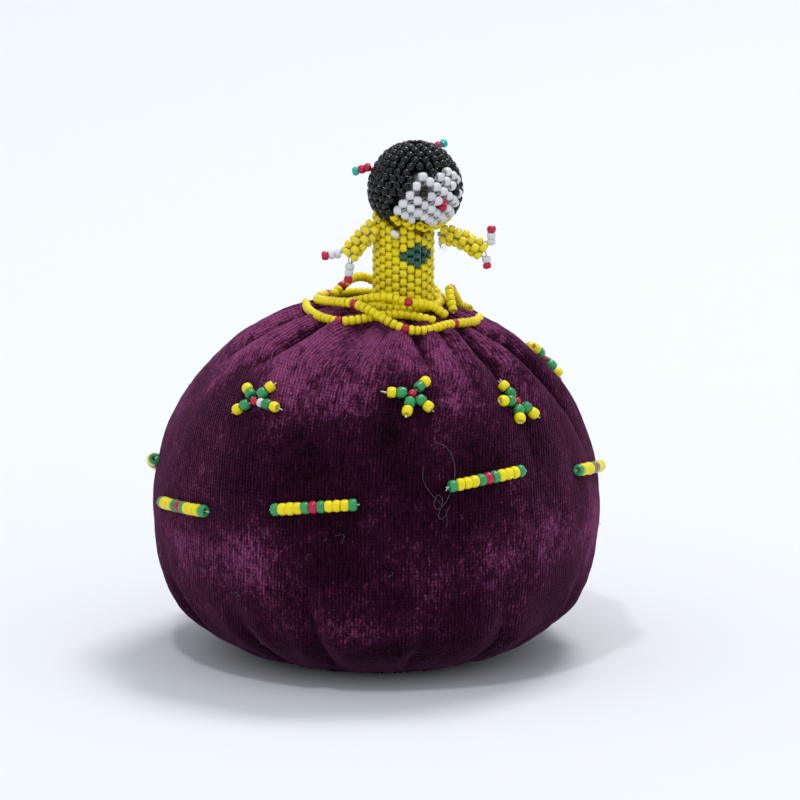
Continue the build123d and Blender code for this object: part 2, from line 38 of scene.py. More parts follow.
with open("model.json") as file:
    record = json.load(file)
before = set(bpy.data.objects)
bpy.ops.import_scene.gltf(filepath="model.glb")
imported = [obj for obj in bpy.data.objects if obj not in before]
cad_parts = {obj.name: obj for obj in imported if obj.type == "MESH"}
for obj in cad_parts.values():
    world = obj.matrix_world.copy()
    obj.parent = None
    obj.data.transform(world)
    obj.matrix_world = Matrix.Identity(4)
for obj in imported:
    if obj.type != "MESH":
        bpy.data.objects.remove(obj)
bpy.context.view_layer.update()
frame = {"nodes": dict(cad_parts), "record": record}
MM = 0.001
rng = np.random.default_rng(20)


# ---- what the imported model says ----
def box_mm(node):
    low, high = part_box(node)
    return np.array(low) / MM, np.array(high) / MM


cover_low, cover_high = box_mm("velvet_cover")
core_low, core_high = box_mm("doll_core")
head_low, head_high = box_mm("head_core")

BALL_RADIUS = (cover_high[0] - cover_low[0]) / 2
DOLL_X = (core_low[0] + core_high[0]) / 2
CORE_RADIUS = (core_high[0] - core_low[0]) / 2
HEAD_CENTRE = (head_low + head_high) / 2
HEAD_SIZE = (head_high - head_low) / 2

# The ball's own proportions, as in the solid model.
EQUATOR = 36.0
CROWN_RISE = 48.8
HOLLOW_X = 4.0
HOLLOW_FLOOR = 82.3
HOLLOW_SPHERE = 60.0
# Radius and height up the side, from the edge of the flat underside.
LOWER_PROFILE = ((27.0, 0.0), (39.9, 6.2), (49.1, 17.0), (BALL_RADIUS, EQUATOR))
UNDERSIDE_RADIUS = LOWER_PROFILE[0][0]

# The velvet: how high its pile stands, and how far above the floor its underside lies.
PILE_DEPTH = 0.6
FLOOR_GAP = 0.02
# Points round the cloth, then rings up its side, over its dome and close to the doll.
CLOTH_GRID = (440, 54, 58, 44)
# The simulated cloth is coarser. It runs for some frames and moves no point further than the cap.
COARSE_ROWS, COARSE_COLUMNS = 84, 220
CLOTH_FRAMES = 20
CLOTH_CAP = 1.6

BODY_OF = {}
for body, nodes in frame["record"]["behaviour"]["bodies"].items():
    for node in nodes:
        BODY_OF[node] = body
SLOT_OF = {part["node"]: part["material_slot"] for part in frame["record"]["subparts"]}


# ---- mesh and material helpers ----
def make_piece(name, verts_mm, faces, material, body):
    """A mesh object from points in millimetres, riding on a body."""
    mesh = bpy.data.meshes.new(name)
    mesh.from_pydata((np.asarray(verts_mm) * MM).tolist(), [], [tuple(f) for f in faces])
    mesh.polygons.foreach_set("use_smooth", [True] * len(mesh.polygons))
    mesh.materials.append(material)
    mesh.update()
    piece = bpy.data.objects.new(name, mesh)
    bpy.context.scene.collection.objects.link(piece)
    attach(piece, body)
    return piece


def ring_faces(rows, columns):
    """Faces between rings of points, each ring closed on itself."""
    faces = []
    for r in range(rows - 1):
        low, high = r * columns, (r + 1) * columns
        for c in range(columns):
            d = (c + 1) % columns
            faces.append((low + c, low + d, high + d, high + c))
    return faces


def cap_first(columns):
    """The face that closes the first ring."""
    return tuple(reversed(range(columns)))


class Nodes:
    """A short way to write a node material."""

    def __init__(self, name):
        self.material = bpy.data.materials.new(name)
        self.material.use_nodes = True
        self.tree = self.material.node_tree
        self.shader = self.tree.nodes["Principled BSDF"]

    def add(self, kind, **settings):
        node = self.tree.nodes.new(kind)
        for key, value in settings.items():
            setattr(node, key, value)
        return node

    def link(self, source, target):
        self.tree.links.new(source, target)

    def put(self, socket, value):
        """Link an output or set a plain value."""
        if isinstance(value, bpy.types.NodeSocket):
            self.link(value, socket)
        else:
            socket.default_value = value

    def noise(self, vector, scale, detail=3.0, roughness=0.55, distortion=0.0):
        node = self.add("ShaderNodeTexNoise")
        self.link(vector, node.inputs["Vector"])
        node.inputs["Scale"].default_value = scale
        node.inputs["Detail"].default_value = detail
        node.inputs["Roughness"].default_value = roughness
        node.inputs["Distortion"].default_value = distortion
        return node.outputs["Fac"]

    def span(self, value, low, high, to_low=0.0, to_high=1.0, smooth=True):
        node = self.add("ShaderNodeMapRange")
        if smooth:
            node.interpolation_type = "SMOOTHSTEP"
        self.put(node.inputs["Value"], value)
        for key, number in (
            ("From Min", low),
            ("From Max", high),
            ("To Min", to_low),
            ("To Max", to_high),
        ):
            node.inputs[key].default_value = number
        return node.outputs["Result"]

    def math(self, operation, first, second=0.0):
        node = self.add("ShaderNodeMath", operation=operation)
        self.put(node.inputs[0], first)
        self.put(node.inputs[1], second)
        return node.outputs[0]

    def mix(self, factor, first, second, blend="MIX"):
        node = self.add("ShaderNodeMix", data_type="RGBA", blend_type=blend)
        self.put(node.inputs["Factor"], factor)
        for socket, value in ((node.inputs[6], first), (node.inputs[7], second)):
            self.put(socket, value if isinstance(value, bpy.types.NodeSocket) else (*value, 1))
        return node.outputs[2]

    def place(self):
        return self.add("ShaderNodeTexCoord").outputs["Object"]

    def scaled(self, vector, scale):
        node = self.add("ShaderNodeMapping")
        self.link(vector, node.inputs["Vector"])
        node.inputs["Scale"].default_value = scale
        return node.outputs["Vector"]

    def bump(self, height, distance_mm, strength=1.0, over=None):
        node = self.add("ShaderNodeBump")
        node.inputs["Strength"].default_value = strength
        node.inputs["Distance"].default_value = distance_mm * MM
        self.link(height, node.inputs["Height"])
        if over is not None:
            self.link(over, node.inputs["Normal"])
        return node.outputs["Normal"]

    def set(self, **values):
        for key, value in values.items():
            self.put(self.shader.inputs[key.replace("_", " ")], value)


def glass(name, colour, deep, roughness=0.16, transmission=0.0, coat=0.35, shine=0.5):
    """Glass bead: each bead a little lighter or darker, with dust and a faintly uneven surface."""
    n = Nodes(name)
    place = n.place()
    tone = n.add("ShaderNodeAttribute", attribute_name="bead_tone").outputs["Fac"]
    cloud = n.noise(place, 900.0, 2.0)
    blend = n.math("ADD", n.math("MULTIPLY", tone, 0.75), n.math("MULTIPLY", cloud, 0.4))
    n.set(Base_Color=n.mix(blend, deep, colour))
    dust = n.noise(place, 2600.0, 4.0, 0.65)
    n.set(Roughness=n.span(dust, 0.35, 0.75, roughness * 0.75, roughness * 1.9))
    n.set(Normal=n.bump(n.noise(place, 1500.0, 2.0), 0.05, 0.5))
    n.set(Transmission_Weight=transmission, IOR=1.5, Specular_IOR_Level=shine)
    n.set(Coat_Weight=coat, Coat_Roughness=0.06)
    return n.material


def thread_stuff(name, colour, dark):
    """Twisted cotton: fine diagonal plies, a little fuzz and grime."""
    n = Nodes(name)
    place = n.place()
    ply = n.add("ShaderNodeTexWave", wave_type="BANDS", bands_direction="DIAGONAL")
    n.link(place, ply.inputs["Vector"])
    ply.inputs["Scale"].default_value = 900.0
    ply.inputs["Distortion"].default_value = 3.0
    ply.inputs["Detail"].default_value = 2.0
    grime = n.noise(place, 500.0, 3.0)
    n.set(Base_Color=n.mix(n.span(grime, 0.35, 0.7), colour, dark))
    n.set(Normal=n.bump(ply.outputs["Fac"], 0.06, 0.8))
    n.set(Roughness=0.82, Sheen_Weight=0.3, Sheen_Roughness=0.5, Specular_IOR_Level=0.25)
    return n.material


def cloth_stuff(name, colour, dark, face=None):
    """Wadding wrapped in plain thread. A face colour may fill the side that looks one way."""
    n = Nodes(name)
    place = n.place()
    wraps = n.add("ShaderNodeTexWave", wave_type="BANDS", bands_direction="Z")
    n.link(place, wraps.inputs["Vector"])
    wraps.inputs["Scale"].default_value = 420.0
    wraps.inputs["Distortion"].default_value = 5.0
    wraps.inputs["Detail"].default_value = 2.5
    tint = n.mix(n.noise(place, 700.0, 4.0), dark, colour)
    if face is not None:
        centre, way, edge, face_colour = face
        off = n.add("ShaderNodeVectorMath", operation="SUBTRACT")
        n.link(place, off.inputs[0])
        off.inputs[1].default_value = centre
        side = n.add("ShaderNodeVectorMath", operation="DOT_PRODUCT")
        n.link(off.outputs[0], side.inputs[0])
        side.inputs[1].default_value = way
        tint = n.mix(n.span(side.outputs["Value"], edge, edge + 0.0016), tint, face_colour)
    n.set(Base_Color=tint, Roughness=0.9, Specular_IOR_Level=0.2)
    n.set(Normal=n.bump(wraps.outputs["Fac"], 0.15, 0.8))
    return n.material


def velvet_stuff():
    """Crushed velvet: a knit ground under short pile, brushed light and dark in small strokes, with
    painted sheen and painted shade from the pile lean.
    """
    n = Nodes("crushed_velvet")
    place = n.place()
    uv = n.add("ShaderNodeUVMap", uv_map="cloth").outputs["UV"]
    strokes = n.noise(n.scaled(uv, (1.5, 0.30, 1.0)), 1.0, 4.0, 0.66, 0.5)
    hatch = n.noise(n.scaled(uv, (3.4, 0.9, 1.0)), 1.0, 3.0, 0.7, 0.3)
    patches = n.noise(place, 75.0, 6.0, 0.66, 0.6)
    flecks = n.noise(place, 330.0, 4.0, 0.7, 0.8)
    grain = n.noise(place, 1900.0, 3.0, 0.7)
    wale = n.add("ShaderNodeTexWave", wave_type="BANDS", bands_direction="X", wave_profile="SIN")
    course = n.add("ShaderNodeTexWave", wave_type="BANDS", bands_direction="Y", wave_profile="SIN")
    for wave, warp in ((wale, 1.6), (course, 1.3)):
        n.link(uv, wave.inputs["Vector"])
        wave.inputs["Scale"].default_value = 0.37
        wave.inputs["Distortion"].default_value = warp
        wave.inputs["Detail"].default_value = 2.0
        wave.inputs["Detail Scale"].default_value = 0.4
    rows = n.span(course.outputs["Fac"], 0.0, 1.0, 0.5, 1.0)
    knit = n.math("MULTIPLY", wale.outputs["Fac"], rows)
    # Where the pile leans back towards the light it is pale, elsewhere nearly black: painted sheen,
    # with the painted light and shade of the pile lean added.
    lean = n.add("ShaderNodeAttribute", attribute_name="pile_lean_and_painted_light").outputs["Fac"]
    brushed_and_painted_light = n.math("MULTIPLY", patches, 0.42)
    for layer, weight in ((flecks, 0.60), (strokes, 0.80), (hatch, 0.66), (grain, 0.44)):
        brushed_and_painted_light = n.math("ADD", brushed_and_painted_light, n.math("MULTIPLY", layer, weight))
    brushed_and_painted_light = n.math("ADD", brushed_and_painted_light, n.math("MULTIPLY", n.math("SUBTRACT", lean, 0.5), 0.60))
    pale = n.span(brushed_and_painted_light, 1.22, 1.78)
    # Painted highlight: the palest places take a bright pink.
    painted_highlight_and_crush = n.span(brushed_and_painted_light, 1.66, 2.08)
    colour = n.mix(pale, (0.0055, 0.0008, 0.0029), (0.043, 0.0058, 0.0245))
    colour = n.mix(painted_highlight_and_crush, colour, (0.33, 0.072, 0.205))
    ribs = n.span(knit, 0.1, 0.9, 0.0, 1.0)
    colour = n.mix(1.0, colour, n.mix(ribs, (0.55, 0.55, 0.55), (1.12, 1.12, 1.12)), "MULTIPLY")
    n.set(Base_Color=colour, Roughness=0.92, Specular_IOR_Level=0.03)
    n.set(Sheen_Weight=0.34, Sheen_Roughness=0.28, Sheen_Tint=(0.72, 0.20, 0.50, 1))
    coarse = n.bump(brushed_and_painted_light, 0.5, 0.5)
    ribbed = n.bump(knit, 0.14, 0.6, over=coarse)
    n.set(Normal=n.bump(n.math("ADD", strokes, grain), 0.18, 0.8, over=ribbed))
    return n.material


GLASS = {
    "yellow_glass": glass(
        "glass_yellow", (0.95, 0.80, 0.002), (0.82, 0.62, 0.001), coat=0.12, shine=0.36
    ),
    "red_glass": glass(
        "glass_red", (0.62, 0.006, 0.060), (0.38, 0.002, 0.026), coat=0.15, shine=0.4
    ),
    "green_glass": glass(
        "glass_green", (0.040, 0.36, 0.120), (0.018, 0.22, 0.066), 0.2, coat=0.15, shine=0.4
    ),
    "white_glass": glass("glass_white", (0.80, 0.80, 0.82), (0.58, 0.58, 0.61), 0.24),
    "black_glass": glass(
        "glass_black", (0.005, 0.005, 0.006), (0.001, 0.001, 0.0015), 0.075, coat=0.0, shine=0.34
    ),
    "teal_glass": glass("glass_teal", (0.0, 0.72, 0.62), (0.0, 0.50, 0.44), 0.08, 0.45),
    "dark_green_glass": glass(
        "glass_dark_green", (0.004, 0.17, 0.10), (0.0, 0.045, 0.028), 0.08, 0.45
    ),
}
white_thread = thread_stuff("cotton_white", (0.74, 0.72, 0.70), (0.50, 0.47, 0.46))
dark_thread = thread_stuff("cotton_dark", (0.060, 0.030, 0.075), (0.020, 0.010, 0.026))
lint_stuff = thread_stuff("lint", (0.20, 0.14, 0.21), (0.08, 0.05, 0.09))
velvet = velvet_stuff()
fibre_fill = cloth_stuff("fibre_fill", (0.72, 0.70, 0.66), (0.45, 0.43, 0.40))


# ---- the velvet's shape ----
def dome_height(x, y):
    reach = np.minimum(np.hypot(x, y) / BALL_RADIUS, 1.0)
    return EQUATOR + CROWN_RISE * np.sqrt(1 - reach**2)


def crown_height(x, y):
    """The dome and its shallow hollow, joined by a soft rounded rim."""
    from_hollow = np.hypot(x - HOLLOW_X, y)
    bowl = HOLLOW_FLOOR + HOLLOW_SPHERE
    bowl = bowl - np.sqrt(np.maximum(HOLLOW_SPHERE**2 - from_hollow**2, 1.0))
    softness = 0.9
    return -softness * np.logaddexp(-dome_height(x, y) / softness, -bowl / softness)


def hermite(points, count, first_way, last_way):
    """Points along a smooth curve through a few profile points."""
    points = [np.array(p) for p in points]
    ways = [np.array(first_way) * np.linalg.norm(points[1] - points[0])]
    for before, after in zip(points, points[2:]):
        ways.append((after - before) / 2)
    ways.append(np.array(last_way) * np.linalg.norm(points[-1] - points[-2]))
    out = []
    for start, end, go, come in zip(points, points[1:], ways, ways[1:]):
        for t in np.linspace(0, 1, count, endpoint=False):
            out.append(
                (2 * t**3 - 3 * t**2 + 1) * start
                + (t**3 - 2 * t**2 + t) * go
                + (3 * t**2 - 2 * t**3) * end
                + (t**3 - t**2) * come
            )
    out.append(points[-1])
    return np.array(out)


def smoothstep(low, high, value):
    t = np.clip((value - low) / (high - low), 0, 1)
    return t * t * (3 - 2 * t)


def ball_grid(columns, side_rows, dome_rows, top_rows):
    """Rings of points from the middle of the underside up to the gather, as (rings, columns, 3)."""
    azimuth = np.linspace(0, 2 * math.pi, columns, endpoint=False)
    sin, cos = np.sin(azimuth), -np.cos(azimuth)
    rings = []
    for radius in np.linspace(0.4, UNDERSIDE_RADIUS, side_rows // 2)[:-1]:
        rings.append(np.stack([radius * sin, radius * cos, np.zeros(columns)], 1))
    for radius, height in hermite(LOWER_PROFILE, side_rows // 3, (1, 0), (0, 1)):
        rings.append(np.stack([radius * sin, radius * cos, np.full(columns, height)], 1))
    radii = [BALL_RADIUS * math.cos(t) for t in np.linspace(0, math.radians(60), dome_rows)[1:]]
    radii += list(np.linspace(radii[-1], CORE_RADIUS + 0.9, top_rows)[1:])
    for radius in radii:
        shift = DOLL_X * smoothstep(0.0, 1.0, (BALL_RADIUS - radius) / (BALL_RADIUS - 12.0))
        x, y = shift + radius * sin, radius * cos
        rings.append(np.stack([x, y, crown_height(x, y)], 1))
    for drop in (1.2, 3.0, 6.0):
        rings.append(rings[-1] * [1, 1, 1] - [0, 0, drop])
    return np.array(rings)


def grid_normals(grid):
    around = np.roll(grid, -1, 1) - np.roll(grid, 1, 1)
    along = np.gradient(grid, axis=0)
    normal = np.cross(around, along)
    length = np.linalg.norm(normal, axis=2, keepdims=True)
    return normal / np.maximum(length, 1e-9)


def uneven_folds(azimuth, last, drift, reach, depth, width, gap):
    """Folds at uneven distances over the back, which the photographed side doesn't show."""
    folds = []
    while azimuth < last:
        end = azimuth + rng.uniform(-drift, drift)
        folds.append((azimuth, end, rng.uniform(*reach), rng.uniform(*depth), rng.uniform(*width)))
        azimuth += rng.uniform(*gap)
    return folds


# Deep folds of the upper half: azimuth at the doll and at the far end, how far from the doll
# they reach, depth and half-width at their widest.
TOP_FOLDS = [
    (50, 43, 52, 3.6, 3.0),
    (66, 79, 53, 3.6, 2.8),
    (4, 17, 44, 2.3, 2.5),
    (-27, -29, 50, 1.5, 4.2),
    (-52, -61, 50, 2.6, 2.3),
    (-79, -83, 52, 2.6, 2.4),
    (-37, -34, 38, 1.8, 2.0),
    (27, 29, 36, 1.8, 2.0),
    (-11, -14, 33, 1.5, 2.2),
    (92, 97, 50, 3.0, 2.6),
    (-103, -106, 52, 2.8, 2.6),
]
TOP_FOLDS += uneven_folds(112.0, 246, 7, (36, 52), (1.8, 3.2), (2.0, 3.2), (12, 19))
# Small tucks close round the doll.
TUCKS = 44
for index in range(TUCKS):
    start = index * 360 / TUCKS + rng.uniform(-3, 3)
    TOP_FOLDS.append(
        (start, start + rng.uniform(-4, 4), rng.uniform(15, 30), rng.uniform(0.6, 1.3), 1.25)
    )

# Folds that rise from the underside: azimuth low down and high up, the height they reach,
# depth and half-width.
LOW_FOLDS = [
    (-16, -20, 44, 2.0, 2.0),
    (41, 31, 44, 1.2, 2.6),
    (-62, -72, 32, 1.8, 2.4),
    (-83, -88, 36, 1.5, 2.2),
    (72, 69, 30, 1.6, 2.2),
    (15, 12, 26, 1.0, 2.4),
    (-38, -41, 24, 1.1, 2.2),
]
LOW_FOLDS += uneven_folds(92.0, 262, 6, (18, 40), (0.9, 2.0), (1.8, 2.8), (11, 20))
# Small tucks round the edge of the underside.
LOW_TUCKS = 30
for index in range(LOW_TUCKS):
    start = index * 360 / LOW_TUCKS + rng.uniform(-4, 4)
    LOW_FOLDS.append((start, start + rng.uniform(-3, 3), rng.uniform(9, 16), 0.7, 1.3))


def crease(off, width):
    """A sharp valley with a soft swelling on either side."""
    distance = np.abs(off)
    valley = np.exp(-((distance / width) ** 1.25))
    ridge = np.exp(-(((distance - 2.1 * width) / (1.15 * width)) ** 2))
    return 0.30 * ridge - valley


def wrap(angle):
    return (angle + math.pi) % (2 * math.pi) - math.pi


def field_noise(points, size, seed):
    """Smooth noise of about -1 to 1 at points in millimetres."""
    flat = points.reshape(-1, 3) / size + seed
    values = [noise.noise(Vector(p)) for p in flat.tolist()]
    return np.array(values).reshape(points.shape[:-1])


def fold_depth(grid):
    """How far each point of the cloth lies in or out of the plain ball, in millimetres."""
    x, y, z = grid[..., 0], grid[..., 1], grid[..., 2]
    out = np.zeros(x.shape)
    radius = np.hypot(x - DOLL_X, y)
    azimuth = np.arctan2(x - DOLL_X, -y)
    wander = field_noise(grid, 14.0, 3.1) * 1.5
    above = smoothstep(EQUATOR - 4, EQUATOR + 14, z)
    for start, end, reach, depth, width in TOP_FOLDS:
        share = smoothstep(8, reach, radius)
        middle = np.radians(start + (end - start) * share)
        off = wrap(azimuth - middle) * radius + wander * share
        fade = smoothstep(5.5, 15.0, radius) * (1 - smoothstep(0.55 * reach, reach, radius))
        span = width * (0.42 + 0.58 * np.minimum(radius / 30, 1.2))
        out += above * depth * fade * crease(off, span)
    azimuth = np.arctan2(x, -y)
    flat_radius = np.hypot(x, y)
    below = (1 - smoothstep(EQUATOR - 2, EQUATOR + 10, z)) * smoothstep(14, 30, flat_radius)
    for low, high, reach, depth, width in LOW_FOLDS:
        share = smoothstep(0, reach, z)
        middle = np.radians(low + (high - low) * share)
        off = wrap(azimuth - middle) * flat_radius + wander * share
        fade = (1 - smoothstep(0.45 * reach, reach, z)) * smoothstep(-1.0, 5.0, z)
        out += below * depth * fade * crease(off, width)
    return out


def stitched_points():
    """Where the thread of each bar and flower pulls the velvet in, in millimetres."""
    places = []
    for node in ("bar_green_beads", "bar_red_beads", "flower_red_beads", "flower_yellow_beads"):
        places += [centre for centre, *_ in beads_of(node)]
    return places


BEADS = {}


def beads_of(node):
    """Centre, hole axis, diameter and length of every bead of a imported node, in millimetres."""
    if node in BEADS:
        return BEADS[node]
    bm = bmesh.new()
    bm.from_mesh(frame["nodes"][node].data)
    bmesh.ops.remove_doubles(bm, verts=bm.verts, dist=1e-6)
    bm.verts.ensure_lookup_table()
    seen = set()
    found = []
    for first in bm.verts:
        if first.index in seen:
            continue
        seen.add(first.index)
        stack, island = [first], []
        while stack:
            vert = stack.pop()
            island.append(vert.co[:])
            for edge in vert.link_edges:
                other = edge.other_vert(vert)
                if other.index not in seen:
                    seen.add(other.index)
                    stack.append(other)
        points = np.array(island) / MM
        centre = points.mean(0)
        off = points - centre
        # The hole runs along the one direction whose spread differs from the other two.
        spread, ways = np.linalg.eigh(np.cov(off.T))
        odd = 0 if spread[1] - spread[0] > spread[2] - spread[1] else 2
        axis = ways[:, odd]
        along = off @ axis
        across = np.linalg.norm(off - np.outer(along, axis), axis=1)
        found.append((centre, axis, 2 * across.max(), along.max() - along.min()))
    bm.free()
    BEADS[node] = found
    return found


def relaxed(grid, cap_mm):
    """The cloth swollen by its filling: a short pressure simulation, capped and added to a grid."""
    rows, columns = grid.shape[:2]
    scale = 20 * MM  # the run is made at 20 times the real size, which the solver takes better
    mesh = bpy.data.meshes.new("cloth_run")
    start = grid.reshape(-1, 3) * scale
    mesh.from_pydata(start.tolist(), [], ring_faces(rows, columns))
    cloth_object = bpy.data.objects.new("cloth_run", mesh)
    scene = bpy.context.scene
    scene.collection.objects.link(cloth_object)
    held = cloth_object.vertex_groups.new(name="held")
    fixed = list(range(columns * 4)) + list(range(columns * (rows - 6), columns * rows))
    held.add(fixed, 1.0, "REPLACE")
    tree = KDTree(len(start))
    for index, point in enumerate(start):
        tree.insert(point, index)
    tree.balance()
    for place in stitched_points():
        _, index, _ = tree.find(np.array(place) * scale)
        held.add([index], 1.0, "REPLACE")
    cloth = cloth_object.modifiers.new("cloth", "CLOTH")
    settings = cloth.settings
    settings.quality = 5
    settings.mass = 0.15
    settings.tension_stiffness = 18
    settings.compression_stiffness = 12
    settings.shear_stiffness = 6
    settings.bending_stiffness = 0.3
    settings.use_pressure = True
    settings.uniform_pressure_force = 5.0
    settings.vertex_group_mass = "held"
    settings.effector_weights.gravity = 0
    cloth.collision_settings.use_collision = False
    cloth.point_cache.frame_start = 1
    cloth.point_cache.frame_end = CLOTH_FRAMES
    for step in range(1, CLOTH_FRAMES + 1):
        scene.frame_set(step)
    result = cloth_object.evaluated_get(bpy.context.evaluated_depsgraph_get())
    moved = np.empty(len(start) * 3)
    result.data.vertices.foreach_get("co", moved)
    moved = (moved.reshape(-1, 3) - start) / scale
    scene.frame_set(1)
    bpy.data.objects.remove(cloth_object)
    bpy.data.meshes.remove(mesh)
    length = np.linalg.norm(moved, axis=1, keepdims=True)
    moved *= np.minimum(1.0, cap_mm / np.maximum(length, 1e-9))
    return moved.reshape(rows, columns, 3)


def upsampled(field, rows, columns):
    """A coarse grid of vectors spread over a finer one."""
    old_rows, old_columns = field.shape[:2]
    r = np.linspace(0, old_rows - 1, rows)
    c = np.arange(columns) * old_columns / columns
    r0 = np.minimum(r.astype(int), old_rows - 2)
    c0 = c.astype(int)
    fr = (r - r0)[:, None, None]
    fc = (c - c0)[None, :, None]
    c1 = (c0 + 1) % old_columns
    top = field[r0][:, c0] * (1 - fc) + field[r0][:, c1] * fc
    low = field[r0 + 1][:, c0] * (1 - fc) + field[r0 + 1][:, c1] * fc
    return top * (1 - fr) + low * fr


def stitch_field(grid, places, size):
    """1 at the nearest stitched place, falling to 0 over a size in millimetres."""
    tree = KDTree(len(places))
    for index, place in enumerate(places):
        tree.insert(place, index)
    tree.balance()
    flat = [tree.find(p)[2] for p in grid.reshape(-1, 3).tolist()]
    distance = np.array(flat).reshape(grid.shape[:2])
    return np.exp(-((distance / size) ** 2))


def velvet_grid():
    """The finished outside of the velvet, folds, puckers and crumples included."""
    fine = ball_grid(*CLOTH_GRID)
    beads = []
    for node in BODY_OF:
        if node.startswith(("bar_", "flower_")) and "bead" in node:
            beads += [centre for centre, *_ in beads_of(node)]
    calm = 1 - 0.72 * stitch_field(fine, beads, 4.5)
    pucker = stitch_field(fine, stitched_points(), 1.7)
    normals = grid_normals(fine)
    depth = fold_depth(fine) * calm
    pile = PILE_DEPTH * smoothstep(3, 12, fine[..., 2])
    shaped = fine + normals * (depth + pile - 0.5 * pucker)[..., None]
    rows = np.linspace(0, fine.shape[0] - 1, COARSE_ROWS).round().astype(int)
    coarse = shaped[rows][:, :: fine.shape[1] // COARSE_COLUMNS]
    shaped = shaped + upsampled(relaxed(coarse, CLOTH_CAP), *fine.shape[:2])
    crumple = field_noise(fine, 9.0, 7.7) * 0.30 + field_noise(fine, 4.2, 1.3) * 0.16
    crumple += field_noise(fine, 1.7, 4.4) * 0.07
    fade = smoothstep(2.0, 10.0, fine[..., 2])
    shaped = shaped + grid_normals(shaped) * (crumple * fade * calm)[..., None]
    shaped[..., 2] = np.maximum(shaped[..., 2], FLOOR_GAP)
    underside = (np.hypot(fine[..., 0], fine[..., 1]) < UNDERSIDE_RADIUS) & (fine[..., 2] < 1)
    shaped[..., 2] = np.where(underside, FLOOR_GAP, shaped[..., 2])
    return fine, shaped


def build_velvet():
    """The velvet cover with its cloth coordinates and the lean of its pile, painted light and shade
    included. Gives back its grid.
    """
    plain, shaped = velvet_grid()
    rows, columns = shaped.shape[:2]
    faces = ring_faces(rows, columns) + [cap_first(columns)]
    piece = make_piece("velvet", shaped.reshape(-1, 3), faces, velvet, "cushion")
    # Flat coordinates of the cloth in millimetres: round the ball, and up it from the underside.
    steps = np.linalg.norm(np.diff(plain, axis=0), axis=2).mean(1)
    up = np.concatenate([[0], np.cumsum(steps)])
    azimuth = np.arange(columns) * 2 * math.pi / columns
    girth = np.hypot(plain[..., 0], plain[..., 1]).mean(1)
    girth = np.maximum(girth, 0.62 * BALL_RADIUS)
    layer = piece.data.uv_layers.new(name="cloth")
    loops = np.empty(len(piece.data.loops), dtype=int)
    piece.data.loops.foreach_get("vertex_index", loops)
    row = loops // columns
    left = np.tile(wrap(azimuth + 1e-6), rows - 1)
    right = left + azimuth[1]
    turn = np.stack([left, right, right, left], 1).reshape(-1)
    turn = np.concatenate([turn, wrap(azimuth + 1e-6)[::-1]])
    flat = np.stack([girth[row] * turn, up[row]], 1)
    layer.data.foreach_set("uv", flat.reshape(-1))
    # Which way the pile leans: a random crushed pattern with painted light and shade added, a painted
    # highlight on the crown and painted shade in folds and low down.
    lean = 0.5 + 0.38 * field_noise(plain * [1, 1, 0.55], 13.0, 9.2)
    # Painted shade: the pile is made darker where the cloth folds in.
    inward = ((plain - shaped) * grid_normals(plain)).sum(2)
    lean = lean - 0.22 * np.clip(inward, -0.6, 2.5)
    height = plain[..., 2]
    sideways = np.abs(np.sin(azimuth))[None, :]
    # Painted highlight on the crown, painted shade over the lowest part near the floor.
    lean = lean + 0.46 * smoothstep(62, 80, height) - 1.0 * (1 - smoothstep(2, 14, height))
    # Painted light: a band low on the side is made paler.
    lean = lean + 0.26 * smoothstep(8, 18, height) * (1 - smoothstep(30, 46, height))
    # Painted sheen: the left and right sides are made paler, and the whole a little darker.
    lean = lean + 0.34 * sideways * smoothstep(20, 36, height) - 0.12
    # Painted highlight: the front of the crown is made paler between the first two flowers.
    front = np.exp(-(((plain[..., 0] + 3) / 14) ** 2)) * (plain[..., 1] < 0)
    lean = lean + 0.40 * front * smoothstep(60, 72, height) - 0.10 * smoothstep(62, 80, height)
    # This lean, painted light and shade included, is stored for the velvet's colour.
    tone = piece.data.attributes.new("pile_lean_and_painted_light", "FLOAT", "POINT")
    tone.data.foreach_set("value", np.clip(lean, -0.7, 1.3).reshape(-1).astype(np.float32))
    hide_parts("velvet_cover")
    return shaped


velvet_shape = build_velvet()
velvet_tree = BVHTree.FromPolygons(
    velvet_shape.reshape(-1, 3).tolist(), ring_faces(*velvet_shape.shape[:2])
)


def build_filling():
    """The wadding, a little inside the velvet everywhere."""
    inner = velvet_shape - grid_normals(velvet_shape) * 1.7
    inner = inner[::3, ::4]
    inner[..., 2] = np.maximum(inner[..., 2], 1.4)
    rows, columns = inner.shape[:2]
    faces = ring_faces(rows, columns) + [cap_first(columns)]
    piece = make_piece(
        "wadding", inner.reshape(-1, 3), faces, fibre_fill, "cushion"
    )
    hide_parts("stuffing")


build_filling()


# ---- beads ----
def bead_template(diameter, length, hole, around=18, section=12):
    """Points and faces of a rounded bead with its hole along Z."""
    middle = (diameter + hole) / 4
    half = (diameter - hole) / 4
    turns = np.linspace(0, 2 * math.pi, section, endpoint=False) + math.pi / section
    power = 2 / 2.15
    r = middle + half * np.sign(np.cos(turns)) * np.abs(np.cos(turns)) ** power
    z = length / 2 * np.sign(np.sin(turns)) * np.abs(np.sin(turns)) ** power
    angles = np.linspace(0, 2 * math.pi, around, endpoint=False)
    points = np.stack(
        [
            (r[None, :] * np.cos(angles)[:, None]).ravel(),
            (r[None, :] * np.sin(angles)[:, None]).ravel(),
            np.tile(z, around),
        ],
        1,
    )
    faces = []
    for a in range(around):
        b = (a + 1) % around
        for s in range(section):
            t = (s + 1) % section
            faces.append((a * section + s, b * section + s, b * section + t, a * section + t))
    return points, np.array(faces)


def turned(axis):
    """A rotation matrix that takes Z to an axis."""
    return np.array(Vector((0, 0, 1)).rotation_difference(Vector(axis)).to_matrix())


